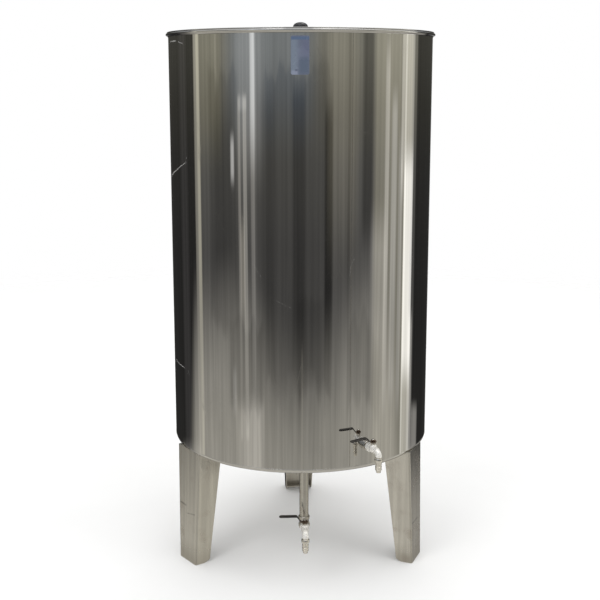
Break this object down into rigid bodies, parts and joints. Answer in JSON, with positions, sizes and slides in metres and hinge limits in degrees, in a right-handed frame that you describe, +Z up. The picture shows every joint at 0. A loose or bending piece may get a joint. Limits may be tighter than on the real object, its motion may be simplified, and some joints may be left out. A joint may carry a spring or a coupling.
{
  "type": "vertical storage tank",
  "caption": "Free-standing stainless steel storage tank on folded legs, with a lift-off lid, a side tap and a bottom drain tap.",
  "frame": {"origin": "on the floor, in the middle of the footprint of the whole part; the tank's own axis is 8.5 mm behind it", "axes": "+Z up along the tank's axis, -Y towards the front where the drain tap points, +X to the right seen from the front"},
  "size_m": [0.774, 0.8079, 1.5595],
  "materials": {
    "polished_steel": "bright polished stainless sheet, almost a mirror",
    "satin_steel": "satin stainless",
    "nickel_plate": "bright nickel plate",
    "black_vinyl": "black dipped vinyl over a steel strap",
    "black_knob": "black moulded knob",
    "plated_nut": "dull plated nut",
    "label_film": "plain printed film sticker with no lettering"
  },
  "bodies": {
    "tank": {"shell": "polished_steel", "top_rim": "polished_steel", "tank_bottom": "polished_steel", "bottom_ring": "polished_steel", "leg_left": "satin_steel", "leg_right": "satin_steel", "leg_back": "satin_steel", "foot_plate_left": "satin_steel", "foot_plate_right": "satin_steel", "foot_plate_back": "satin_steel", "tap_socket": "polished_steel", "tap_nipple": "nickel_plate", "tap_valve_body": "nickel_plate", "tap_packing_nut": "nickel_plate", "tap_spout": "nickel_plate", "tap_hose_tail": "nickel_plate", "drain_collar": "satin_steel", "drain_pipe": "satin_steel", "drain_elbow": "satin_steel", "drain_nipple": "nickel_plate", "drain_valve_body": "nickel_plate", "drain_packing_nut": "nickel_plate", "drain_spout": "nickel_plate", "drain_hose_tail": "nickel_plate"},
    "lid": {"lid": "polished_steel", "lid_washer": "nickel_plate", "lid_knob": "black_knob"},
    "tap_lever": {"tap_stem": "nickel_plate", "tap_lever": "black_vinyl", "tap_lever_nut": "plated_nut"},
    "drain_lever": {"drain_stem": "nickel_plate", "drain_lever": "black_vinyl", "drain_lever_nut": "plated_nut"}
  },
  "joints": [
    {"name": "lid_lift", "type": "slide", "parent": "tank", "child": "lid", "axis": [0, 0, 1], "range_m": [0, 0.3]},
    {"name": "tap_turn", "type": "hinge", "parent": "tank", "child": "tap_lever", "pos_m": [0.19775, -0.36659, 0.4065], "axis": [0, 0, 1], "range_deg": [0, 90]},
    {"name": "drain_turn", "type": "hinge", "parent": "tank", "child": "drain_lever", "pos_m": [0.0121, -0.33347, 0.16], "axis": [0, 0, 1], "range_deg": [0, 90]}
  ]
}
